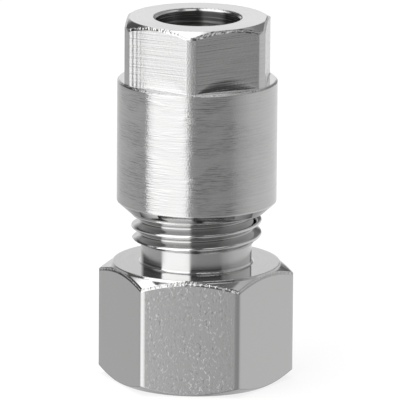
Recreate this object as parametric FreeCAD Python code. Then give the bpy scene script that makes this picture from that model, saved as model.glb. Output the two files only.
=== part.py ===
import FreeCAD, Part
import math
import os

from FreeCAD import Vector

# Push-on tube fitting with a union nut, in millimetres.
# The axis is +Z, and the origin is the centre of the lower face, where the port opens.
# The nut stands as it is found, some turns short of tight.
# Threads are drawn plain. The stub has its full diameter and the nut's bore clears it, and the port
# has its core diameter, as drilled for the tap.

# Tube that the fitting takes
TUBE_BORE = 6.0
TUBE_WALL = 1.0
TUBE_GRIP = 0.08            # sleeve's bore over the tube, on the diameter
TUBE_CLEARANCE = 0.4        # nut's hole over the tube, on the diameter

# Running clearances
THREAD_CLEARANCE = 0.1      # radial, between the stub and the nut
SLEEVE_CLEARANCE = 0.1      # square to the faces where the sleeve sits in the nut

# Depth of a 55 degree Whitworth thread, as a share of its pitch
THREAD_DEPTH = 0.640327

# Clamping sleeve
SLEEVE_WALL = 1.56
SLEEVE_LENGTH = 4.2
SLEEVE_TOP_LAND = 0.46      # flat ring left on top, inside the cone
SLEEVE_ENTRY = 0.55         # how far the mouth opens out over the clamped tube
SLEEVE_ENTRY_HEIGHT = 1.0
SLEEVE_BEAD = 0.2           # height of the bead that keeps the sleeve in the nut
SLEEVE_BEAD_WIDTH = 0.6
SLEEVE_BEAD_OFFSET = 0.5    # from the sleeve's lower end
SLEEVE_TIGHT_GAP = 0.7      # from the stub's upper face, with the nut tight on a tube
SLEEVE_SLOTS = 4
SLEEVE_SLOT_WIDTH = 0.6
SLEEVE_SLOT_HEIGHT = 2.6

# Union thread
UNION_PITCH = 1.337
UNION_PASS = 0.245          # stub's core diameter over the sleeve's diameter
UNION_LENGTH = 9.1          # threaded length of the stub
STUB_TOP_CHAMFER = 0.9
STUB_LOW_CHAMFER = 0.45

# Nipple, upwards from the stub
RAMP_FLARE = 1.1            # how far the ramp opens the tube, on the radius
RAMP_HEIGHT = 2.0
NIPPLE_WALL = 0.9
NIPPLE_TIP_DROP = 0.3       # tip under the shank, on the radius
BARBS = 2
BARB_RISE = 0.3
BARB_PITCH = 2.4
BARB_BACK = 0.15            # height of a barb's steep lower side
SHANK_LENGTH = 1.3          # plain, under the barbs

# Body hexagon, neck and port
PORT_DIAMETER = 13.157
PORT_PITCH = 1.337
PORT_WALL = 1.9215          # from the port's thread to a flat
PORT_FLOOR = 2.38           # from the port's full depth to the hexagon's upper face
PORT_MOUTH = 0.22           # countersink beyond the thread, on the radius
PORT_UNDERCUT = 0.07        # relief groove beyond the thread, on the radius
PORT_RELIEF_TURNS = 1.2     # width of the relief groove, in turns of the thread
DRILL_ANGLE = math.radians(31.0)
BODY_HEX_HEIGHT = 11.88
BODY_HEX_EDGE = 0.3         # radius of the bar's six edges
HEX_CHAMFER_ANGLE = math.radians(30.0)
BODY_CHAMFER_INSET = 0.33   # lower chamfer circle inside the body's flats, on the radius
BODY_BOSS_FOOT = 0.03       # upper chamfer circle inside the flats, where the low boss stands
BODY_BOSS_TOP = 0.1         # top of the boss inside the flats, on the radius
BODY_BOSS_RISE = 0.25       # height of the boss
NECK_LENGTH = 2.12
NECK_UNDERCUT = 0.17        # neck under the thread's core, on the radius
NECK_FILLET = 0.2

# Union nut
NUT_TIGHT_GAP = 0.7         # from the body's hexagon, with the nut tight on a tube
NUT_TURNS_OPEN = 3.5        # turns short of tight, as found
NUT_TURN = -0.7             # degrees: one corner of its hexagon from the -Y side
NUT_SEAT_LEAD = 0.2         # how far the sleeve's seat starts below the sleeve
NUT_GUIDE_LENGTH = 3.75     # plain hole above the sleeve's cone
NUT_HOLE_CHAMFER = 0.25
COLLAR_WALL = 1.3215
COLLAR_FOOT_INSET = 1.1
COLLAR_FOOT_HEIGHT = 1.0
COLLAR_EDGE = 0.15
NUT_HEX_LENGTH = 6.25
NUT_HEX_WALL = 1.3
NUT_HEX_TRIM = 0.2          # hexagon's turned corners inside the collar, on the radius
NUT_CHAMFER_INSET = 0.08    # chamfer circle inside the nut's flats, on the radius

OVERLAP = 1.0               # how far a tool or a joined solid reaches past a face

# Radii that follow
TUBE_RADIUS = TUBE_BORE / 2 + TUBE_WALL
TUBE_HOLE = TUBE_RADIUS + TUBE_CLEARANCE / 2
SLEEVE_HOLE = TUBE_RADIUS + TUBE_GRIP / 2
SLEEVE_RADIUS = SLEEVE_HOLE + SLEEVE_WALL
SEAT_RADIUS = SLEEVE_RADIUS + SLEEVE_CLEARANCE
UNION_CORE = SLEEVE_RADIUS + UNION_PASS / 2
UNION_RADIUS = UNION_CORE + THREAD_DEPTH * UNION_PITCH
NUT_BORE_RADIUS = UNION_RADIUS + THREAD_CLEARANCE
COLLAR_RADIUS = NUT_BORE_RADIUS + COLLAR_WALL
NUT_HEX_APOTHEM = SEAT_RADIUS + NUT_HEX_WALL
PORT_RADIUS = PORT_DIAMETER / 2
PORT_CORE = PORT_RADIUS - THREAD_DEPTH * PORT_PITCH
BODY_HEX_APOTHEM = PORT_RADIUS + PORT_WALL
NECK_RADIUS = UNION_CORE - NECK_UNDERCUT
NIPPLE_RADIUS = TUBE_BORE / 2
BORE_RADIUS = NIPPLE_RADIUS - NIPPLE_WALL

# Heights that follow, from the origin
STUB_BOTTOM = BODY_HEX_HEIGHT + NECK_LENGTH
STUB_TOP = STUB_BOTTOM + UNION_LENGTH
SHANK_BOTTOM = STUB_TOP + RAMP_HEIGHT
BARBS_BOTTOM = SHANK_BOTTOM + SHANK_LENGTH
NIPPLE_TOP = BARBS_BOTTOM + BARBS * BARB_PITCH
PORT_TOP = BODY_HEX_HEIGHT - PORT_FLOOR
NUT_BOTTOM = BODY_HEX_HEIGHT + NUT_TIGHT_GAP + NUT_TURNS_OPEN * UNION_PITCH

# The sleeve stands as high above its tight place as the nut does
SLEEVE_BOTTOM = STUB_TOP + SLEEVE_TIGHT_GAP + NUT_TURNS_OPEN * UNION_PITCH
SLEEVE_TOP = SLEEVE_BOTTOM + SLEEVE_LENGTH
BEAD_BOTTOM = SLEEVE_BOTTOM + SLEEVE_BEAD_OFFSET
BEAD_TOP = BEAD_BOTTOM + SLEEVE_BEAD_WIDTH

# The nut's 45 degree cone lies along the sleeve's, one clearance away square to both
CONE_TOP_RADIUS = SLEEVE_HOLE + SLEEVE_TOP_LAND
SEAT_BOTTOM = SLEEVE_BOTTOM - NUT_SEAT_LEAD
SEAT_TOP = SLEEVE_TOP + CONE_TOP_RADIUS + SLEEVE_CLEARANCE * math.sqrt(2) - SEAT_RADIUS
GUIDE_BOTTOM = SEAT_TOP + SEAT_RADIUS - TUBE_HOLE
NUT_TOP = GUIDE_BOTTOM + NUT_GUIDE_LENGTH
COLLAR_TOP = NUT_TOP - NUT_HEX_LENGTH


def turned(*outline):
    """Solid of revolution about Z. The outline is a closed loop of (radius, height) points; a step
    that is a pair of points is an arc through the first of them to the second."""
    points = [step if isinstance(step[0], (int, float)) else step[1] for step in outline]
    edges = []
    for before, step, after in zip([points[-1]] + points[:-1], outline, points):
        start = Vector(before[0], 0, before[1])
        end = Vector(after[0], 0, after[1])
        if step is after:
            edges.append(Part.makeLine(start, end))
        else:
            middle = Vector(step[0][0], 0, step[0][1])
            edges.append(Part.Arc(start, middle, end).toShape())
    face = Part.Face(Part.Wire(edges))
    return face.revolve(Vector(0, 0, 0), Vector(0, 0, 1), 360)


def hex_prism(apothem, bottom, top, turn, edge_radius=0.0):
    """Hexagonal bar with one corner turned `turn` degrees from the -Y side."""
    corner = apothem / math.cos(math.pi / 6)
    angles = [math.radians(turn - 90 + 60 * k) for k in range(6)]
    points = [Vector(corner * math.cos(a), corner * math.sin(a), bottom) for a in angles]
    bar = Part.Face(Part.makePolygon(points + points[:1])).extrude(Vector(0, 0, top - bottom))
    if edge_radius:
        upright = [e for e in bar.Edges if abs(e.tangentAt(e.FirstParameter).z) > 0.5]
        bar = bar.makeFillet(edge_radius, upright)
    return bar


def fillet_middle(centre, radius):
    """Middle point of a quarter arc that curves in towards the axis and down."""
    reach = radius * math.sqrt(0.5)
    return (centre[0] - reach, centre[1] - reach)


def body_hexagon():
    """Hexagonal foot of the body, both ends turned to a 30 degree chamfer, with a low boss on top."""
    corner = BODY_HEX_APOTHEM / math.cos(math.pi / 6)
    slope = math.tan(HEX_CHAMFER_ANGLE)
    circle = BODY_HEX_APOTHEM - BODY_CHAMFER_INSET
    boss_foot = BODY_HEX_APOTHEM - BODY_BOSS_FOOT
    shoulder = BODY_HEX_HEIGHT - BODY_BOSS_RISE
    blank = turned(
        (0, 0),
        (circle, 0),
        (corner, (corner - circle) * slope),
        (corner, shoulder - (corner - boss_foot) * slope),
        (boss_foot, shoulder),
        (BODY_HEX_APOTHEM - BODY_BOSS_TOP, BODY_HEX_HEIGHT),
        (0, BODY_HEX_HEIGHT),
    )
    bar = hex_prism(BODY_HEX_APOTHEM, 0, BODY_HEX_HEIGHT, 30, BODY_HEX_EDGE)
    return bar.common(blank)


def nipple_outline():
    """Ramp, shank and barbs, from the stub's face up to the tip."""
    points = [(NIPPLE_RADIUS + RAMP_FLARE, STUB_TOP), (NIPPLE_RADIUS, SHANK_BOTTOM)]
    for k in range(BARBS):
        foot = BARBS_BOTTOM + k * BARB_PITCH
        points.append((NIPPLE_RADIUS, foot))
        points.append((NIPPLE_RADIUS + BARB_RISE, foot + BARB_BACK))
        if k < BARBS - 1:
            points.append((NIPPLE_RADIUS, foot + BARB_PITCH - BARB_BACK))
    points.append((NIPPLE_RADIUS - NIPPLE_TIP_DROP, NIPPLE_TOP))
    return points


def turned_end():
    """Neck, stub and nipple above the hexagon, rooted in it."""
    root = NECK_RADIUS + NECK_FILLET
    centre = (root, BODY_HEX_HEIGHT + NECK_FILLET)
    return turned(
        (0, BODY_HEX_HEIGHT - OVERLAP),
        (root, BODY_HEX_HEIGHT - OVERLAP),
        (root, BODY_HEX_HEIGHT),
        (fillet_middle(centre, NECK_FILLET), (NECK_RADIUS, BODY_HEX_HEIGHT + NECK_FILLET)),
        (NECK_RADIUS, STUB_BOTTOM),
        (UNION_CORE, STUB_BOTTOM),
        (UNION_RADIUS, STUB_BOTTOM + STUB_LOW_CHAMFER),
        (UNION_RADIUS, STUB_TOP - STUB_TOP_CHAMFER),
        (UNION_RADIUS - STUB_TOP_CHAMFER, STUB_TOP),
        *nipple_outline(),
        (0, NIPPLE_TOP),
    )


def port_bore():
    """Through bore, drilled end of the port, its relief groove, core and countersink."""
    relief_bottom = PORT_TOP - PORT_RELIEF_TURNS * PORT_PITCH
    groove = PORT_RADIUS + PORT_UNDERCUT
    mouth = PORT_RADIUS + PORT_MOUTH
    drilled = PORT_TOP + (PORT_CORE - BORE_RADIUS) * math.tan(DRILL_ANGLE)
    return turned(
        (0, -OVERLAP),
        (mouth + OVERLAP, -OVERLAP),
        (PORT_CORE, mouth - PORT_CORE),
        (PORT_CORE, relief_bottom),
        (groove, relief_bottom),
        (groove, PORT_TOP),
        (PORT_CORE, PORT_TOP),
        (BORE_RADIUS, drilled),
        (BORE_RADIUS, NIPPLE_TOP + OVERLAP),
        (0, NIPPLE_TOP + OVERLAP),
    )


def fitting_body():
    """Hexagon, neck, threaded stub and nipple in one piece, bored from the port to the tip."""
    return body_hexagon().fuse(turned_end()).cut(port_bore()).removeSplitter()


def clamping_sleeve():
    """Slotted sleeve with a 45 degree cone on top and a bead that keeps it in the nut."""
    ring = turned(
        (SLEEVE_HOLE + SLEEVE_ENTRY, SLEEVE_BOTTOM),
        (SLEEVE_RADIUS, SLEEVE_BOTTOM),
        (SLEEVE_RADIUS, BEAD_BOTTOM),
        (SLEEVE_RADIUS + SLEEVE_BEAD, BEAD_BOTTOM + SLEEVE_BEAD),
        (SLEEVE_RADIUS + SLEEVE_BEAD, BEAD_TOP - SLEEVE_BEAD / 2),
        (SLEEVE_RADIUS, BEAD_TOP),
        (SLEEVE_RADIUS, SLEEVE_TOP - SLEEVE_RADIUS + CONE_TOP_RADIUS),
        (CONE_TOP_RADIUS, SLEEVE_TOP),
        (SLEEVE_HOLE, SLEEVE_TOP),
        (SLEEVE_HOLE, SLEEVE_BOTTOM + SLEEVE_ENTRY_HEIGHT),
    )
    reach = SLEEVE_RADIUS + SLEEVE_BEAD + OVERLAP
    corner = Vector(0, -SLEEVE_SLOT_WIDTH / 2, SLEEVE_BOTTOM - OVERLAP)
    slot = Part.makeBox(reach, SLEEVE_SLOT_WIDTH, SLEEVE_SLOT_HEIGHT + OVERLAP, corner)
    for k in range(SLEEVE_SLOTS):
        ring = ring.cut(slot.rotated(Vector(0, 0, 0), Vector(0, 0, 1), 45 + 360 / SLEEVE_SLOTS * k))
    return ring


def nut_blank():
    """Collar with a chamfered foot, and the hexagon milled above it."""
    collar = turned(
        (0, NUT_BOTTOM),
        (COLLAR_RADIUS - COLLAR_FOOT_INSET, NUT_BOTTOM),
        (COLLAR_RADIUS, NUT_BOTTOM + COLLAR_FOOT_HEIGHT),
        (COLLAR_RADIUS, COLLAR_TOP - COLLAR_EDGE),
        (COLLAR_RADIUS - COLLAR_EDGE, COLLAR_TOP),
        (0, COLLAR_TOP),
    )
    corner = COLLAR_RADIUS - NUT_HEX_TRIM
    circle = NUT_HEX_APOTHEM - NUT_CHAMFER_INSET
    drop = (corner - circle) * math.tan(HEX_CHAMFER_ANGLE)
    head = turned(
        (0, COLLAR_TOP - OVERLAP),
        (corner, COLLAR_TOP - OVERLAP),
        (corner, NUT_TOP - drop),
        (circle, NUT_TOP),
        (0, NUT_TOP),
    )
    bar = hex_prism(NUT_HEX_APOTHEM, COLLAR_TOP - OVERLAP, NUT_TOP, NUT_TURN)
    return collar.fuse(head.common(bar))


def nut_hollow():
    """Bore of the thread, seat of the sleeve with its bead groove, and the tube's hole."""
    groove = SLEEVE_RADIUS + SLEEVE_BEAD + SLEEVE_CLEARANCE
    chamfer_bottom = NUT_TOP - NUT_HOLE_CHAMFER
    return turned(
        (0, NUT_BOTTOM - OVERLAP),
        (NUT_BORE_RADIUS, NUT_BOTTOM - OVERLAP),
        (NUT_BORE_RADIUS, SEAT_BOTTOM),
        (SEAT_RADIUS, SEAT_BOTTOM),
        (SEAT_RADIUS, BEAD_BOTTOM - SLEEVE_CLEARANCE),
        (groove, BEAD_BOTTOM - SLEEVE_CLEARANCE),
        (groove, BEAD_TOP + SLEEVE_CLEARANCE),
        (SEAT_RADIUS, BEAD_TOP + SLEEVE_CLEARANCE),
        (SEAT_RADIUS, SEAT_TOP),
        (TUBE_HOLE, GUIDE_BOTTOM),
        (TUBE_HOLE, chamfer_bottom),
        (TUBE_HOLE + NUT_HOLE_CHAMFER + OVERLAP, NUT_TOP + OVERLAP),
        (0, NUT_TOP + OVERLAP),
    )


def union_nut():
    """Collar and hexagon in one piece, threaded below and holding the sleeve above."""
    return nut_blank().cut(nut_hollow()).removeSplitter()


def main():
    os.makedirs("parts", exist_ok=True)
    for build in (fitting_body, clamping_sleeve, union_nut):
        build().exportStep("parts/" + build.__name__ + ".step")


if __name__ == "__main__":
    main()
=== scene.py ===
"""Threads, finishes and studio of a push-on tube fitting with a union nut."""

import math

import bmesh
import bpy
from bpy.props import FloatProperty, FloatVectorProperty, IntProperty, PointerProperty
from bpy.types import Operator, Panel, PropertyGroup
from mathutils import Matrix, Vector


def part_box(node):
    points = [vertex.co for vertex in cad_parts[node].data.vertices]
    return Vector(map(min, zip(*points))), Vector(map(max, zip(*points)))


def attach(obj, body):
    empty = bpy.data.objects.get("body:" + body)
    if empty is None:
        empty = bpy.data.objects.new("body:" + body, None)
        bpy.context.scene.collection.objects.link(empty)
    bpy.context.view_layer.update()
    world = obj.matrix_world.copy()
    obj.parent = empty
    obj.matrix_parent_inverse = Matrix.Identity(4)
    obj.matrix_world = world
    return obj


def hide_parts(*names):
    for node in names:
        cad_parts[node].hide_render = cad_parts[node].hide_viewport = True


bl_info = {
    "name": "Tube fitting",
    "version": (1, 0, 0),
    "blender": (4, 5, 0),
    "location": "3D View > Sidebar > Fitting",
    "description": "Dresses the packed tube fitting: threads, plated finishes, studio",
    "category": "Object",
}

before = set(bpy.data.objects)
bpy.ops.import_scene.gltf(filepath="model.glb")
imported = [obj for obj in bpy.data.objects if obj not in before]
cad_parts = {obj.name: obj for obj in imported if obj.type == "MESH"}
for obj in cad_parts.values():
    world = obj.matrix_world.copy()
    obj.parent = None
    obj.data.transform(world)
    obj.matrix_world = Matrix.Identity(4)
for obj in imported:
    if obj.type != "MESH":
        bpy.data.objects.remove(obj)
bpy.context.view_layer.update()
NUT_LOW, NUT_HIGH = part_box("union_nut")

MM = 0.001

# Whitworth form: half the angle between flanks, rounding and depth as shares of the pitch
FLANK_ANGLE = math.radians(27.5)
ROUNDING_SHARE = 0.137329
DEPTH_SHARE = 0.640327
SHARP_ANGLE = math.radians(38.0)

# Body in mm: the bar's flats and edges, the circles where its end chamfers start, the neck
CHAMFER_SLOPE = math.tan(math.radians(30.0))
BODY_HALF_FLATS = 8.5
BODY_CONE_TOP = 11.63
BODY_CONE_CIRCLE = 8.47
BODY_FOOT_CIRCLE = 8.17
BAR_EDGE_START = 9.58
NECK_REACH = 6.0
NECK_BOTTOM = 12.3
NECK_TOP = 14.0

# Nut in mm: hexagon, ledge between hexagon and collar, chamfered foot, hole for the tube
NUT_HALF_FLATS = 7.0
NUT_HALF_CORNERS = 7.8
NUT_CORNER_TURN = math.radians(-0.7)
NUT_FLAT_TURN = -math.pi / 2 + NUT_CORNER_TURN + math.pi / 6
NUT_CONE_TOP = NUT_HIGH.z / MM
NUT_CONE_CIRCLE = 6.92
NUT_LEDGE = NUT_CONE_TOP - 6.25
LEDGE_CIRCLE = 7.86
COLLAR_RADIUS = 8.0
NUT_FOOT = NUT_LOW.z / MM
FOOT_CONE_RISE = 1.0
NUT_MOUTH = 6.7
NUT_HOLE = 4.2
NUT_HOLE_BOTTOM = 33.0

# Relief in mm: burrs on the arcs of the hexagons, rolled edge of the nut's mouth, cutter's run-out
BODY_BURRS = 0.15
NUT_BURRS = 0.14
MOUTH_ROLL = 0.12
RUNOUT_HEIGHT = 1.5
CUTTER_MARKS = 17.0
# Radius in mm from which the threads' crests get a painted highlight
THREAD_CREST = 6.5

# Rings of thread, in metres: where they sit in the stub and in the port
STUB_BOTTOM = 14.0 * MM
STUB_TOP = 23.1 * MM
STUB_CORE = 5.7225 * MM
STUB_SKIN = 5.54 * MM
STUB_LEAD_SLOPE = 1.9
STUB_END_CHAMFER = 0.9 * MM
PORT_RIM = 6.7986 * MM
PORT_WALL_TOP = 7.8956 * MM
PORT_CORE = 5.7224 * MM
PORT_SKIN = 6.60 * MM
PORT_WALL_BOTTOM = PORT_RIM - PORT_SKIN
NUT_THREAD_LENGTH = 9.4 * MM
OVERLAP = 0.02 * MM

# Stage: the picture is square, its shift is in its pixels
PICTURE_PIXELS = 400
PICTURE_SHIFT = (3.4, -3.83)
SENSOR_WIDTH = 36.0
TARGET_HEIGHT = 18.55 * MM
FLOOR_RADIUS = 0.6
FLOOR_GLOW = 1.12
FLOOR_GLOW_SHARE = 0.72
SOFTBOX_PLACE = (-0.05, -0.05, 0.4)
SOFTBOX_SIZE = 0.3
SOFTBOX_POWER = 0.5


class Value:
    """One output of a node tree. Python's operators on it add Math nodes."""

    def __init__(self, graph, socket):
        self.graph = graph
        self.socket = socket

    def math(self, operation, *others):
        inputs = dict(enumerate((self, *others)))
        return self.graph.add("ShaderNodeMath", {"operation": operation}, inputs)

    def __add__(self, other):
        return self.math("ADD", other)

    __radd__ = __add__

    def __sub__(self, other):
        return self.math("SUBTRACT", other)

    def __rsub__(self, other):
        return (self * -1.0) + other

    def __mul__(self, other):
        return self.math("MULTIPLY", other)

    __rmul__ = __mul__

    def __truediv__(self, other):
        return self.math("DIVIDE", other)

    def __neg__(self):
        return self * -1.0

    def __lt__(self, other):
        return self.math("LESS_THAN", other)

    def __gt__(self, other):
        return self.math("GREATER_THAN", other)

    def low(self, other):
        return self.math("MINIMUM", other)

    def high(self, other):
        return self.math("MAXIMUM", other)

    def root(self):
        return self.high(0.0).math("SQRT")


class Graph:
    """A node tree and the one way that nodes are added to it."""

    def __init__(self, tree):
        self.tree = tree

    def add(self, kind, settings=None, inputs=None, output=0):
        """Adds a node: settings first, then values or links of its sockets. Gives one of its outputs."""
        node = self.tree.nodes.new(kind)
        for name, value in (settings or {}).items():
            if name == "stops":
                self.set_stops(node.color_ramp, value)
            else:
                setattr(node, name, value)
        for key, value in (inputs or {}).items():
            if isinstance(value, Value):
                self.tree.links.new(value.socket, node.inputs[key])
            else:
                node.inputs[key].default_value = value
        return Value(self, node.outputs[output])

    def also(self, value, output):
        """Another output of the node that a value comes from."""
        return Value(self, value.socket.node.outputs[output])

    @staticmethod
    def set_stops(ramp, stops):
        """Grey stops of a ramp, from places and levels."""
        while len(ramp.elements) < len(stops):
            ramp.elements.new(0.5)
        for element, (position, level) in zip(ramp.elements, stops):
            element.position = position
            element.color = (level, level, level, 1.0)

    def parts(self, vector):
        """The x, y and z of a vector."""
        x = self.add("ShaderNodeSeparateXYZ", inputs={0: vector})
        return x, self.also(x, 1), self.also(x, 2)

    def join(self, x, y, z):
        """A vector of three values."""
        return self.add("ShaderNodeCombineXYZ", inputs={0: x, 1: y, 2: z})

    def noise(self, vector, scale=1.0, detail=2.0, roughness=0.5):
        sockets = {"Vector": vector, "Scale": scale, "Detail": detail, "Roughness": roughness}
        return self.add("ShaderNodeTexNoise", inputs=sockets)

    def blend_colour(self, factor, first, second):
        """One colour over another by a factor."""
        settings = {"data_type": "RGBA"}
        return self.add("ShaderNodeMix", settings, {0: factor, 6: first, 7: second}, 2)

    def ease(self, value, start, end):
        """0 at start, 1 at end, smooth between."""
        settings = {"interpolation_type": "SMOOTHSTEP"}
        return self.add("ShaderNodeMapRange", settings, {0: value, 1: start, 2: end})


class ThreadSizes(PropertyGroup):
    """Sizes of the threads."""

    pitch: FloatProperty(
        name="Pitch", description="Rise of every thread in one turn",
        default=1.337 * MM, unit="LENGTH", precision=6)
    full_radius: FloatProperty(
        name="Full radius", description="Nominal crest radius of the male thread",
        default=6.5785 * MM, unit="LENGTH", precision=6)
    clearance: FloatProperty(
        name="Clearance", description="Radial room between the nut's thread and the stub's",
        default=0.1 * MM, unit="LENGTH", precision=6)
    crest_play: FloatProperty(
        name="Crest play", description="How far the male thread is cut under its nominal radius",
        default=0.04 * MM, unit="LENGTH", precision=6)
    ridge_height: FloatProperty(
        name="Ridge height", description="Height of a crest of the stub's thread at +X",
        default=14.889 * MM, unit="LENGTH", precision=6)
    port_ridge_height: FloatProperty(
        name="Port ridge height", description="Height of a groove of the port's thread at +X",
        default=3.2 * MM, unit="LENGTH", precision=6)
    samples: IntProperty(
        name="Samples", description="Rows of vertices in one pitch", default=18, min=8)
    steps: IntProperty(
        name="Steps", description="Columns of vertices in one turn", default=168, min=24)


class FinishSettings(PropertyGroup):
    """Colours and roughness of the finishes."""

    nickel: FloatVectorProperty(
        name="Nickel", description="Colour of the nickel plating",
        default=(0.66, 0.66, 0.657), subtype="COLOR", min=0.0, max=1.0)
    turned_roughness: FloatProperty(
        name="Turned roughness", description="Mean roughness of the turned faces",
        default=0.08, min=0.0, max=1.0, subtype="FACTOR")
    drawn_roughness: FloatProperty(
        name="Drawn roughness", description="Mean roughness of the drawn bar's flats",
        default=0.22, min=0.0, max=1.0, subtype="FACTOR")
    edge_radius: FloatProperty(
        name="Edge radius", description="Rounding that the plating leaves on an edge",
        default=0.2 * MM, unit="LENGTH", precision=6)


class StageSettings(PropertyGroup):
    """Camera and floor."""

    distance: FloatProperty(
        name="Distance", description="Camera to the middle of the fitting",
        default=0.6769, unit="LENGTH")
    elevation: FloatProperty(
        name="Elevation", description="Camera's height over the floor as an angle",
        default=math.radians(13.39), subtype="ANGLE")
    azimuth: FloatProperty(
        name="Azimuth", description="Camera's turn to the right of the front",
        default=math.radians(3.9), subtype="ANGLE")
    roll: FloatProperty(
        name="Roll", description="Turn of the camera about its own axis",
        default=math.radians(0.42), subtype="ANGLE")
    lens: FloatProperty(
        name="Lens", description="Focal length over a 36 mm sensor, in mm", default=608.8)
    floor_colour: FloatVectorProperty(
        name="Floor", description="Colour of the floor",
        default=(0.82, 0.82, 0.82), subtype="COLOR", min=0.0, max=1.0)


def packed_copy(node, name, shape):
    """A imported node's mesh with its doubles merged and its corner normals kept.

    shape takes a vertex's place and gives its new one.
    """
    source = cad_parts[node].data
    places, lookup, index_of = [], {}, []
    for vertex in source.vertices:
        key = tuple(round(c * 1e7) for c in vertex.co)
        if key not in lookup:
            lookup[key] = len(places)
            places.append(vertex.co.copy())
        index_of.append(lookup[key])
    faces, normals, smooth = [], [], []
    for polygon in source.polygons:
        corners = [index_of[source.loops[i].vertex_index] for i in polygon.loop_indices]
        if len(set(corners)) < len(corners):
            continue
        faces.append(corners)
        smooth.append(polygon.use_smooth)
        normals.extend(source.corner_normals[i].vector.copy() for i in polygon.loop_indices)
    mesh = bpy.data.meshes.new(name)
    mesh.from_pydata([shape(place) for place in places], [], faces)
    mesh.polygons.foreach_set("use_smooth", smooth)
    mesh.normals_split_custom_set(normals)
    piece = bpy.data.objects.new(name, mesh)
    bpy.context.scene.collection.objects.link(piece)
    return piece


def whitworth_drop(q, pitch):
    """How far the thread's surface lies under its crest, at q pitches from the crest's middle."""
    rounding = pitch * ROUNDING_SHARE
    crest_end = rounding * math.cos(FLANK_ANGLE)
    t = (q - q.math("ROUND")).math("ABSOLUTE") * pitch
    far = pitch * 0.5 - t
    crest = rounding - (rounding * rounding - t * t).root()
    flank = rounding * (1 - math.sin(FLANK_ANGLE)) + (t - crest_end) / math.tan(FLANK_ANGLE)
    root = pitch * DEPTH_SHARE - rounding + (rounding * rounding - far * far).root()
    on_crest = t < crest_end
    on_root = far < crest_end
    return crest * on_crest + root * on_root + flank * (1.0 - on_crest - on_root)


THREAD_INPUTS = {
    "Pitch": 1.337 * MM,
    "Full Radius": 6.5785 * MM,
    "Back Radius": 5.52 * MM,
    "Bottom": 14.1 * MM,
    "Top": 23.2 * MM,
    "Ridge Height": 15.0 * MM,
    "Side": 1.0,
    "Low Radius": 5.7225 * MM,
    "Low Slope": 1.9,
    "High Radius": 5.6786 * MM,
    "High Slope": 1.0,
}


def thread_tree():
    """A closed ring whose one face is a right-hand helical thread, male for side 1, female for -1."""
    tree = bpy.data.node_groups.new("helical_thread", "GeometryNodeTree")
    tree.interface.new_socket("Geometry", in_out="OUTPUT", socket_type="NodeSocketGeometry")
    for name, value in THREAD_INPUTS.items():
        socket = tree.interface.new_socket(name, in_out="INPUT", socket_type="NodeSocketFloat")
        socket.default_value = value
    for name, value in (("Samples", 18), ("Steps", 168)):
        socket = tree.interface.new_socket(name, in_out="INPUT", socket_type="NodeSocketInt")
        socket.default_value = value
    tree.interface.new_socket("Finish", in_out="INPUT", socket_type="NodeSocketMaterial")
    g = Graph(tree)
    given = tree.nodes.new("NodeGroupInput")
    read = {socket.name: Value(g, socket) for socket in given.outputs if socket.name}
    pitch, bottom, top, ridge = (read[n] for n in ("Pitch", "Bottom", "Top", "Ridge Height"))
    side, samples, steps = read["Side"], read["Samples"], read["Steps"]

    turns = ((top - bottom) / pitch).math("CEIL") + 2.0
    rows = turns * samples
    sizes = {"Size X": 1.0, "Size Y": 1.0, "Vertices X": steps + 1.0, "Vertices Y": rows + 4.0}
    grid = g.add("GeometryNodeMeshGrid", inputs=sizes)
    across, along, _ = g.parts(g.add("GeometryNodeInputPosition"))
    turn = across + 0.5
    row = ((along + 0.5) * (rows + 3.0)).math("ROUND")
    start = ridge + ((bottom - pitch - ridge) / pitch).math("FLOOR") * pitch
    height = (start + pitch * turn + pitch * (row - 1.0) / samples).high(bottom).low(top)
    surface = read["Full Radius"] - whitworth_drop((height - ridge) / pitch - turn, pitch)
    low_limit = read["Low Radius"] + read["Low Slope"] * (height - bottom)
    high_limit = read["High Radius"] + read["High Slope"] * (top - height)
    radius = side * (side * surface).low(side * low_limit).low(side * high_limit)

    closing = (row < 0.5) + (row > rows + 2.5)
    back = (row > rows + 1.5).high(closing)
    radius = radius + back * (read["Back Radius"] - radius)
    height = height + closing * (bottom - height)
    angle = turn * (2 * math.pi)
    place = g.join(radius * angle.math("COSINE"), radius * angle.math("SINE"), height)
    ring = g.add("GeometryNodeSetPosition", inputs={"Geometry": grid, "Position": place})
    ring = g.add("GeometryNodeMergeByDistance", inputs={"Geometry": ring, "Distance": 0.0005 * MM})
    ring = g.add("GeometryNodeSetShadeSmooth", inputs={"Geometry": ring})
    ring = g.add("GeometryNodeRealizeInstances", inputs={"Geometry": ring})
    ring = g.add("GeometryNodeSetMaterial", inputs={"Geometry": ring, "Material": read["Finish"]})
    out = tree.nodes.new("NodeGroupOutput")
    tree.links.new(ring.socket, out.inputs["Geometry"])
    return tree


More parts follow.
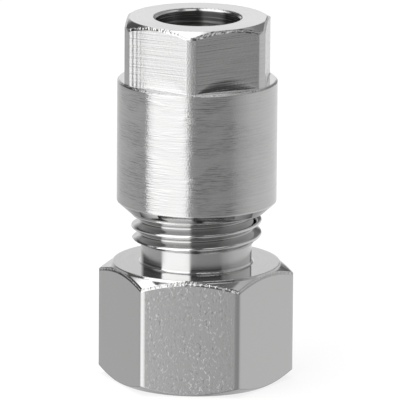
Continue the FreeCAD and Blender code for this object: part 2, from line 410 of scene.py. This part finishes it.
def thread_piece(name, finish, **sizes):
    """One thread as a plain mesh: the tree's result with these inputs."""
    tree = bpy.data.node_groups.get("helical_thread") or thread_tree()
    settings = bpy.context.scene.fitting_threads
    values = {
        "Pitch": settings.pitch,
        "Full Radius": settings.full_radius,
        "Samples": settings.samples,
        "Steps": settings.steps,
        "Finish": finish,
    }
    values.update({key.replace("_", " ").title(): value for key, value in sizes.items()})
    holder = bpy.data.objects.new(name + "_holder", bpy.data.meshes.new(name + "_holder"))
    bpy.context.scene.collection.objects.link(holder)
    modifier = holder.modifiers.new("thread", "NODES")
    modifier.node_group = tree
    for item in tree.interface.items_tree:
        if item.item_type == "SOCKET" and item.in_out == "INPUT" and item.name in values:
            modifier[item.identifier] = values[item.name]
    graph = bpy.context.evaluated_depsgraph_get()
    mesh = bpy.data.meshes.new_from_object(holder.evaluated_get(graph), depsgraph=graph)
    bpy.data.objects.remove(holder)
    mesh.name = name
    tidy = bmesh.new()
    tidy.from_mesh(mesh)
    bmesh.ops.recalc_face_normals(tidy, faces=tidy.faces)
    if tidy.calc_volume(signed=True) < 0:
        bmesh.ops.reverse_faces(tidy, faces=tidy.faces)
    if any(not edge.is_manifold for edge in tidy.edges):
        raise RuntimeError(name + " isn't a closed ring")
    tidy.to_mesh(mesh)
    tidy.free()
    mesh.set_sharp_from_angle(angle=SHARP_ANGLE)
    piece = bpy.data.objects.new(name, mesh)
    bpy.context.scene.collection.objects.link(piece)
    return piece


def metal(g, colour, roughness, anisotropic, normal, turned):
    """A metal shader. Its lines run round the axis, so turned metal blurs across them."""
    sockets = {
        "Base Color": colour,
        "Metallic": 1.0,
        "Roughness": roughness,
        "Anisotropic": anisotropic,
        "Anisotropic Rotation": 0.25 if turned else 0.0,
        "Normal": normal,
    }
    return g.add("ShaderNodeBsdfPrincipled", inputs=sockets)


def tool_marks(g, x, y, z, spacing=8.0, stretch=0.4):
    """Fine marks of the lathe tool: short lines round the axis, close together along the profile."""
    radius = (x * x + y * y).root()
    along = z + radius * 0.62
    fine = g.noise(g.join(x * stretch, y * stretch, along * spacing), 1.0, 3.0, 0.6)
    grain = g.noise(g.join(x, y, along), 6.0, 2.0, 0.5)
    return fine, grain


def raised(g, height, normal=None):
    """The normal of a surface with a relief whose height is in mm."""
    sockets = {"Strength": 1.0, "Distance": MM, "Height": height}
    if normal:
        sockets["Normal"] = normal
    return g.add("ShaderNodeBump", inputs=sockets)


def turned_metal(g, tint, roughness, normal, height, fine):
    """Metal off the lathe, with a relief and with the lines that shade it."""
    colour = g.blend_colour(g.ease(fine, 0.3, 0.6), shade(tint, 0.95), shade(tint, 1.0))
    rough = roughness + (fine - 0.5) * 0.05
    return metal(g, colour, rough, 0.6, raised(g, height, normal), True)


def chamfer_arcs(g, reach, radius, z, flats, circle, top):
    """1 on the arcs where a hexagon's chamfer meets its flats, falling to 0 away from them."""
    cone = (circle - radius) * CHAMFER_SLOPE + top
    below = 1.0 - (z - cone).math("ABSOLUTE") / 0.25
    inside = 1.0 - (flats - reach) / 0.2
    return below.high(0.0) * inside.high(0.0)


def burrs(g, x, y, z):
    """Fine roughness that a tool leaves along an edge."""
    return g.noise(g.join(x * 2.4, y * 2.4, z * 1.5), 1.6, 1.0, 0.5)


def shade(tint, level):
    """A colour with its brightness changed, as the sockets take it."""
    return (*(min(1.0, part * level) for part in tint), 1.0)


def object_mm(g):
    """The object's own coordinates in mm."""
    place = g.add("ShaderNodeTexCoord", output=3)
    x, y, z = g.parts(place)
    return x * 1000.0, y * 1000.0, z * 1000.0


def new_material(name):
    """An empty material and the graph of its nodes."""
    material = bpy.data.materials.new(name)
    material.use_nodes = True
    material.node_tree.nodes.clear()
    return material, Graph(material.node_tree)


def finish_with(g, shader):
    """Joins a shader to the material's surface."""
    out = g.tree.nodes.new("ShaderNodeOutputMaterial")
    g.tree.links.new(shader.socket, out.inputs["Surface"])


def across_flats(g, x, y, turn):
    """The greatest distance from the axis square to any of a hexagon's flats."""
    reach = None
    for k in range(3):
        angle = turn + k * math.pi / 3
        along = (x * math.cos(angle) + y * math.sin(angle)).math("ABSOLUTE")
        reach = along if reach is None else reach.high(along)
    return reach


def plated_body():
    """Nickel on the body: drawn flats on the big hexagon, turned everywhere else."""
    settings = bpy.context.scene.fitting_finish
    material, g = new_material("nickel_body")
    tint = settings.nickel[:]
    x, y, z = object_mm(g)
    radius = (x * x + y * y).root()
    soft = g.add("ShaderNodeBevel", {"samples": 6}, {"Radius": settings.edge_radius})
    reach = across_flats(g, x, y, math.pi / 2)
    arcs = chamfer_arcs(g, reach, radius, z, BODY_HALF_FLATS, BODY_CONE_CIRCLE, BODY_CONE_TOP)
    edge = (burrs(g, x, y, z) + 0.5) * arcs * -BODY_BURRS
    fine, grain = tool_marks(g, x, y, z)
    turned = turned_metal(g, tint, 0.05, soft, fine * 0.0012 + edge, fine)
    place = g.join(x, y, z)
    flecks = g.ease((g.noise(place, 1.9, 1.0, 0.5) - 0.5).math("ABSOLUTE"), 0.07, 0.0)
    pits = g.noise(place, 3.2, 1.0, 0.5)
    patches = g.ease(g.noise(place, 0.35, 1.0, 0.5), 0.38, 0.6) * 0.6 + 0.4
    sparks = (flecks * g.ease(pits, 0.52, 0.62) - g.ease(pits, 0.38, 0.3) * 0.7) * patches
    sparks = sparks * g.ease(radius, BAR_EDGE_START + 0.07, BAR_EDGE_START - 0.13)
    crown = (radius * radius - BODY_HALF_FLATS ** 2) * -0.0012
    rolled = (radius - BAR_EDGE_START).high(0.0)
    crown = crown - rolled * rolled * 1.1
    bumped = raised(g, grain * 0.003 + sparks * 0.0045 + crown + edge, soft)
    rough = settings.drawn_roughness + (grain - 0.5) * 0.1
    on_front = y < 0.1 - BODY_HALF_FLATS
    worn = g.blend_colour(sparks * on_front * 0.6 + 0.5, shade(tint, 0.8), shade(tint, 1.22))
    drawn = metal(g, worn, rough, 0.0, bumped, False)
    under = z < (BODY_CONE_CIRCLE - radius) * CHAMFER_SLOPE + BODY_CONE_TOP - 0.02
    over = z > (radius - BODY_FOOT_CIRCLE) * CHAMFER_SLOPE + 0.02
    on_bar = (radius > BODY_HALF_FLATS - 0.05) * under * over * (arcs < 0.02)
    neck = metal(g, shade(tint, 1.0), 0.16, 0.9, raised(g, fine * 0.0012, soft), True)
    on_neck = (radius < NECK_REACH) * (z > NECK_BOTTOM) * (z < NECK_TOP)
    lathed = g.add("ShaderNodeMixShader", inputs={0: on_neck, 1: turned, 2: neck})
    finish_with(g, g.add("ShaderNodeMixShader", inputs={0: on_bar, 1: lathed, 2: drawn}))
    return material


def plated_nut():
    """Nickel on the nut: milled flats on its hexagon, turned everywhere else, painted shade on its foot
    cone and in its bore, and a painted highlight on its bottom edge and rolled sill.
    """
    settings = bpy.context.scene.fitting_finish
    material, g = new_material("nickel_nut")
    tint = settings.nickel[:]
    x, y, z = object_mm(g)
    radius = (x * x + y * y).root()
    soft = g.add("ShaderNodeBevel", {"samples": 6}, {"Radius": settings.edge_radius})
    reach = across_flats(g, x, y, NUT_FLAT_TURN)
    arcs = chamfer_arcs(g, reach, radius, z, NUT_HALF_FLATS, NUT_CONE_CIRCLE, NUT_CONE_TOP)
    ledge = g.ease((z - NUT_LEDGE).math("ABSOLUTE"), 0.2, 0.05) * (radius > LEDGE_CIRCLE)
    corners = g.ease(radius, NUT_HALF_CORNERS - 0.12, NUT_HALF_CORNERS - 0.01)
    corners = corners * (radius < LEDGE_CIRCLE) * (z > NUT_LEDGE + 0.05)
    speckle = g.noise(g.join(x, y, z), 9.0, 1.0, 0.5)
    edge = (burrs(g, x, y, z) + 0.5) * arcs.high(ledge * 0.45) * -NUT_BURRS
    edge = edge + (speckle - 0.5) * corners * 0.012
    fine, grain = tool_marks(g, x, y, z, 7.0, 0.12)
    worn = g.ease(g.noise(g.join(x * 0.7, y * 0.7, z * 7.0), 1.0, 1.0, 0.5), 0.3, 0.7)
    wall = (radius > COLLAR_RADIUS - 0.1) * 0.92 + 0.08
    bands = g.noise(g.join(x * 0.5, y * 0.5, z * 0.9), 0.5, 1.0, 0.5)
    bands = g.ease(bands, 0.42, 0.58) * 0.7 + 0.3
    relief = ((fine * 0.026 + worn * 0.012) * bands + grain * 0.009) * wall + edge
    lip = g.ease(z, NUT_CONE_TOP - 0.1, NUT_CONE_TOP - 0.02) * (radius < NUT_HOLE + 0.26)
    sill = g.ease(z, NUT_FOOT + 0.2, NUT_FOOT + 0.02) * (radius > NUT_MOUTH)
    relief = relief + lip * (grain * 0.06 + 0.04) + sill * MOUTH_ROLL
    turned = turned_metal(g, tint, settings.turned_roughness, soft, relief, fine)
    # Painted shade: the foot cone under the collar gets a darker nickel, for the shadow it faces down
    # into.
    on_cone = (radius > NUT_MOUTH + 0.05) * (radius < COLLAR_RADIUS - 0.06)
    on_cone = on_cone * (z < NUT_FOOT + FOOT_CONE_RISE + 0.3)
    cone_relief = raised(g, fine * 0.002 + sill * MOUTH_ROLL, soft)
    painted_shade_foot_cone = metal(g, shade(tint, 0.6), 0.06, 0.6, cone_relief, True)
    # Painted highlight: the collar's bottom edge and the rolled sill get a nickel brighter than the
    # plating.
    rim = g.ease((z - NUT_FOOT - FOOT_CONE_RISE).math("ABSOLUTE"), 0.12, 0.04)
    rim = rim * (radius > COLLAR_RADIUS - 0.2)
    painted_highlight = metal(g, shade(tint, 1.45), 0.15, 0.6, raised(g, sill * MOUTH_ROLL, soft), True)
    turned = g.add("ShaderNodeMixShader", inputs={0: on_cone, 1: turned, 2: painted_shade_foot_cone})
    turned = g.add("ShaderNodeMixShader", inputs={0: rim.high(sill), 1: turned, 2: painted_highlight})
    mill = g.noise(g.join(x * 0.1, y * 0.1, z * 7.0 - x * 0.3), 1.0, 2.0, 0.6)
    turn = (y.math("ARCTAN2", x) - NUT_CORNER_TURN + math.pi / 2 + 4 * math.pi) / (math.pi / 3)
    share = turn.math("FRACT")
    chatter = (share * (2 * math.pi * CUTTER_MARKS)).math("SINE") * g.ease(share, 0.3, 0.1) * 0.004
    chatter = (chatter - g.ease(share, 0.35, 0.0) * 0.06) * (x < 0.0)
    runout_slope = RUNOUT_HEIGHT / (NUT_HALF_CORNERS ** 2 - NUT_HALF_FLATS ** 2)
    runout = (NUT_HALF_CORNERS ** 2 - radius * radius) * runout_slope + 0.05
    foot = (1.0 - (z - NUT_LEDGE) / runout).high(0.0)
    foot = foot * foot * runout * (g.ease(x, -0.3, 0.3) * 0.22 + 0.05)
    bumped = raised(g, mill * 0.032 + grain * 0.01 + chatter + foot + edge, soft)
    rough = settings.turned_roughness + 0.05 + (mill - 0.5) * 0.08
    milled = metal(g, shade(tint, 1.0), rough, 0.3, bumped, True)
    on_flat = (reach > NUT_HALF_FLATS - 0.006) * (z > NUT_LEDGE + 0.03)
    faces = g.add("ShaderNodeMixShader", inputs={0: on_flat, 1: turned, 2: milled})
    # In the bore: random scratch streaks, over painted shade that darkens the recess far below the
    # nickel.
    streaks_and_painted_shade = g.blend_colour(g.ease(fine, 0.48, 0.62), shade(tint, 0.32), shade(tint, 1.1))
    bore_painted_shade = metal(g, streaks_and_painted_shade, 0.28, 0.9, raised(g, fine * 0.012, soft), True)
    in_bore = (radius < NUT_HOLE + 0.02) * (z > NUT_HOLE_BOTTOM) * (z < NUT_CONE_TOP - 0.25)
    finish_with(g, g.add("ShaderNodeMixShader", inputs={0: in_bore, 1: faces, 2: bore_painted_shade}))
    return material


def plated_thread():
    """Nickel on the cut threads, with a painted highlight on the crests and painted shade in the
    grooves.
    """
    settings = bpy.context.scene.fitting_finish
    material, g = new_material("nickel_thread")
    x, y, z = object_mm(g)
    fine, _ = tool_marks(g, x, y, z)
    tint = settings.nickel[:]
    # Painted light: the crests get a brighter nickel as a painted highlight, the grooves a darker one as
    # painted shade.
    crest = g.ease((x * x + y * y).root(), THREAD_CREST - 0.08, THREAD_CREST)
    colour = g.blend_colour(crest, shade(tint, 0.84), shade(tint, 1.35))
    finish_with(g, metal(g, colour, 0.06, 0.6, raised(g, fine * 0.001), True))
    return material


def plated_sleeve():
    """Nickel on the clamping sleeve."""
    settings = bpy.context.scene.fitting_finish
    material, g = new_material("nickel_sleeve")
    soft = g.add("ShaderNodeBevel", {"samples": 6}, {"Radius": settings.edge_radius})
    tint = settings.nickel[:]
    fine, _ = tool_marks(g, *object_mm(g))
    finish_with(g, turned_metal(g, tint, settings.turned_roughness, soft, fine * 0.003, fine))
    return material


def finish_named(name, maker):
    """A material by its name, made the first time it is asked for."""
    return bpy.data.materials.get(name) or maker()


def dress(piece, material, body):
    """Gives a piece its material and its body."""
    piece.data.materials.clear()
    piece.data.materials.append(material)
    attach(piece, body)


def open_for_threads(place):
    """Draws the stub's skin in and the port's wall out, to leave room for the rings of thread."""
    radius = math.hypot(place.x, place.y)
    if radius > STUB_SKIN + OVERLAP and STUB_BOTTOM - OVERLAP < place.z < STUB_TOP + OVERLAP:
        scale = STUB_SKIN / radius
        if abs(radius - STUB_CORE) > OVERLAP or place.z > STUB_BOTTOM + OVERLAP:
            return Vector((place.x * scale, place.y * scale, place.z))
        return Vector((place.x * scale, place.y * scale, STUB_BOTTOM))
    if abs(radius - PORT_CORE) < OVERLAP and place.z < PORT_WALL_TOP + OVERLAP:
        scale = PORT_SKIN / radius
        z = place.z if place.z > PORT_WALL_TOP - OVERLAP else PORT_WALL_BOTTOM
        return Vector((place.x * scale, place.y * scale, z))
    return place


class FITTING_OT_body(Operator):
    """Make the body's shell and the two threads cut in it."""

    bl_idname = "fitting.body"
    bl_label = "Fitting body"

    def execute(self, context):
        threads = context.scene.fitting_threads
        shell = packed_copy("fitting_body", "body_shell", open_for_threads)
        dress(shell, finish_named("nickel_body", plated_body), "fitting")
        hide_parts("fitting_body")
        finish = finish_named("nickel_thread", plated_thread)
        crest = threads.full_radius - threads.crest_play
        stub = thread_piece(
            "stub_thread", finish, bottom=STUB_BOTTOM, top=STUB_TOP, full_radius=crest,
            back_radius=STUB_SKIN - OVERLAP, ridge_height=threads.ridge_height, side=1.0,
            low_radius=STUB_CORE, low_slope=STUB_LEAD_SLOPE,
            high_radius=crest - STUB_END_CHAMFER, high_slope=1.0)
        dress(stub, finish, "fitting")
        port = thread_piece(
            "port_thread", finish, bottom=PORT_WALL_BOTTOM, top=PORT_WALL_TOP,
            back_radius=PORT_SKIN + OVERLAP, ridge_height=threads.port_ridge_height, side=-1.0,
            low_radius=PORT_SKIN, low_slope=-1.0, high_radius=PORT_CORE, high_slope=0.0)
        dress(port, finish, "fitting")
        return {"FINISHED"}


class FITTING_OT_nut(Operator):
    """Finish the union nut and cut its thread."""

    bl_idname = "fitting.nut"
    bl_label = "Union nut"

    def execute(self, context):
        threads = context.scene.fitting_threads
        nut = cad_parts["union_nut"]
        nut.material_slots[0].material = finish_named("nickel_nut", plated_nut)
        finish = finish_named("nickel_thread", plated_thread)
        full = threads.full_radius + threads.clearance
        core = full - threads.pitch * DEPTH_SHARE
        thread = thread_piece(
            "nut_thread", finish, bottom=NUT_LOW.z, top=NUT_LOW.z + NUT_THREAD_LENGTH,
            full_radius=full, back_radius=full + OVERLAP,
            ridge_height=threads.ridge_height, side=-1.0,
            low_radius=full, low_slope=-1.0, high_radius=core, high_slope=0.0)
        dress(thread, finish, "nut")
        return {"FINISHED"}


class FITTING_OT_sleeve(Operator):
    """Finish the clamping sleeve inside the nut."""

    bl_idname = "fitting.sleeve"
    bl_label = "Clamping sleeve"

    def execute(self, context):
        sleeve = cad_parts["clamping_sleeve"]
        sleeve.material_slots[0].material = finish_named("nickel_sleeve", plated_sleeve)
        return {"FINISHED"}


# Light by direction: rings at heights of the view direction, each with levels at angles from the
# front to the right
CARD_LEVEL = 2.2
DARK_RING = [(-180, 0.22), (-150, 0.10), (-125, 0.06), (-90, 0.06), (-74, 0.10), (-70, 1.9),
             (-11, 1.7), (-6, 0.06), (74, 0.05), (84, 0.30), (100, 0.40), (130, 0.45),
             (160, 0.25), (180, 0.22)]
STUDIO_RINGS = [
    (-0.7, [(-180, 0.40), (-120, 0.30), (-75, 0.22), (-69, 0.85), (-12, 0.85), (-4, 0.22),
            (55, 0.22), (70, 0.34), (90, 0.42), (180, 0.44)]),
    (-0.23, [(-180, 0.76), (-143, 0.58), (-110, 0.53), (-73.5, 0.48), (-70.5, 1.05), (-60, 1.40),
             (-20, 1.40), (-11, 1.25), (-6.5, 0.44), (5, 0.36), (52, 0.345), (57, 0.39), (75, 0.52),
             (90, 0.62), (120, 0.69), (150, 0.76), (170, 0.82), (180, 0.76)]),
    (0.2, [(-180, 0.92), (-155, 0.85), (-135, 0.10), (-100, 0.08), (-73.5, 0.12), (-70.5, 1.9),
           (-11, 1.8), (-6.5, 0.09), (57, 0.08), (61, 0.34), (90, 0.5), (120, 0.6), (150, 0.7),
           (166, 0.15), (172, 0.15), (178, 0.92)]),
    (0.4, DARK_RING),
    (0.62, DARK_RING),
    (0.8, [(-180, 1.5), (-140, 1.7), (-26, 1.5), (-8, 0.6), (2, 0.1), (12, 0.1), (22, 1.1),
           (74, 1.1), (84, 0.1), (92, 0.1), (100, 0.8), (149, 0.6), (165, 0.9), (180, 1.5)]),
]


def ring_stops(levels):
    """Stops of a ramp once round the fitting, from one ring's levels."""
    return [((degrees + 180.0) / 360.0, level / CARD_LEVEL) for degrees, level in levels]


def studio_world():
    """White, grey and dark cards round the fitting, and a white sweep behind it."""
    world = bpy.data.worlds.new("studio")
    world.use_nodes = True
    world.node_tree.nodes.clear()
    g = Graph(world.node_tree)
    x, y, z = g.parts(g.add("ShaderNodeTexCoord"))
    turn = x.math("ARCTAN2", -y) / (2 * math.pi) + 0.5
    cards, reached = None, None
    for height, levels in STUDIO_RINGS:
        ring = g.add("ShaderNodeValToRGB", {"stops": ring_stops(levels)}, {"Fac": turn})
        if cards is None:
            cards = ring
        else:
            share = g.add("ShaderNodeMapRange", inputs={0: z, 1: reached, 2: height})
            cards = g.blend_colour(share, cards, ring)
        reached = height
    studio = g.add("ShaderNodeBackground", inputs={"Color": cards, "Strength": CARD_LEVEL})
    sweep = g.add("ShaderNodeBackground", inputs={"Color": (1, 1, 1, 1), "Strength": 1.0})
    rays = g.add("ShaderNodeLightPath")
    behind = g.ease(y, 0.9, 0.97) * g.ease(x, 0.15, 0.05)
    behind = behind * g.ease(z, 0.12, 0.17) * g.ease(z, 0.24, 0.2)
    seen = rays + g.also(rays, "Is Transmission Ray") + g.also(rays, "Is Glossy Ray") * behind
    mixed = g.add("ShaderNodeMixShader", inputs={0: seen.low(1.0), 1: studio, 2: sweep})
    out = g.tree.nodes.new("ShaderNodeOutputWorld")
    g.tree.links.new(mixed.socket, out.inputs["Surface"])
    bpy.context.scene.world = world


def floor_material():
    """A pale floor that the camera sees nearly white, with the fitting's shadow."""
    settings = bpy.context.scene.fitting_stage
    material, g = new_material("pale_floor")
    diffuse = g.add("ShaderNodeBsdfDiffuse", inputs={"Color": (*settings.floor_colour, 1.0)})
    white = g.add("ShaderNodeEmission", inputs={"Color": (1, 1, 1, 1), "Strength": FLOOR_GLOW})
    rays = g.add("ShaderNodeLightPath")
    seen = (rays + g.also(rays, "Is Transmission Ray")) * FLOOR_GLOW_SHARE
    finish_with(g, g.add("ShaderNodeMixShader", inputs={0: seen, 1: diffuse, 2: white}))
    return material


class FITTING_OT_stage(Operator):
    """Make the floor, the studio light and the camera."""

    bl_idname = "fitting.stage"
    bl_label = "Studio"

    def execute(self, context):
        scene = context.scene
        settings = scene.fitting_stage
        scene.view_settings.view_transform = "Standard"
        studio_world()

        mesh = bpy.data.meshes.new("floor")
        outline = bmesh.new()
        bmesh.ops.create_circle(outline, cap_ends=True, segments=96, radius=FLOOR_RADIUS)
        outline.to_mesh(mesh)
        outline.free()
        floor = bpy.data.objects.new("floor", mesh)
        floor.data.materials.append(floor_material())
        floor.visible_glossy = False
        scene.collection.objects.link(floor)

        lamp = bpy.data.lights.new("overhead_softbox", "AREA")
        lamp.size = SOFTBOX_SIZE
        lamp.energy = SOFTBOX_POWER
        softbox = bpy.data.objects.new("overhead_softbox", lamp)
        softbox.matrix_world = Matrix.Translation(SOFTBOX_PLACE)
        softbox.visible_glossy = False
        softbox.visible_camera = False
        scene.collection.objects.link(softbox)

        camera = bpy.data.cameras.new("camera")
        camera.lens = settings.lens
        camera.sensor_width = SENSOR_WIDTH
        camera.clip_end = 10.0
        camera.shift_x = PICTURE_SHIFT[0] / PICTURE_PIXELS
        camera.shift_y = PICTURE_SHIFT[1] / PICTURE_PIXELS
        viewer = bpy.data.objects.new("camera", camera)
        target = Vector((0.0, 0.0, TARGET_HEIGHT))
        away = Vector((
            math.sin(settings.azimuth) * math.cos(settings.elevation),
            -math.cos(settings.azimuth) * math.cos(settings.elevation),
            math.sin(settings.elevation),
        ))
        look = away.to_track_quat("Z", "Y").to_matrix().to_4x4()
        roll = Matrix.Rotation(settings.roll, 4, "Z")
        viewer.matrix_world = Matrix.Translation(target + away * settings.distance) @ look @ roll
        scene.collection.objects.link(viewer)
        scene.camera = viewer
        return {"FINISHED"}


class FITTING_PT_panel(Panel):
    """The fitting's sizes, finishes and steps."""

    bl_idname = "FITTING_PT_panel"
    bl_label = "Tube fitting"
    bl_space_type = "VIEW_3D"
    bl_region_type = "UI"
    bl_category = "Fitting"

    def draw(self, context):
        for group in GROUPS:
            settings = getattr(context.scene, group)
            for name in settings.__annotations__:
                self.layout.prop(settings, name)
        for step in STEPS:
            self.layout.operator(step.bl_idname)


GROUPS = {
    "fitting_threads": ThreadSizes,
    "fitting_finish": FinishSettings,
    "fitting_stage": StageSettings,
}
STEPS = (FITTING_OT_stage, FITTING_OT_body, FITTING_OT_nut, FITTING_OT_sleeve)


def register():
    for group in (*GROUPS.values(), *STEPS, FITTING_PT_panel):
        bpy.utils.register_class(group)
    for name, group in GROUPS.items():
        setattr(bpy.types.Scene, name, PointerProperty(type=group))


def unregister():
    for name in GROUPS:
        delattr(bpy.types.Scene, name)
    for group in reversed((*GROUPS.values(), *STEPS, FITTING_PT_panel)):
        bpy.utils.unregister_class(group)


def main():
    register()
    bpy.ops.fitting.stage()
    bpy.ops.fitting.body()
    bpy.ops.fitting.nut()
    bpy.ops.fitting.sleeve()


if __name__ == "__main__":
    main()
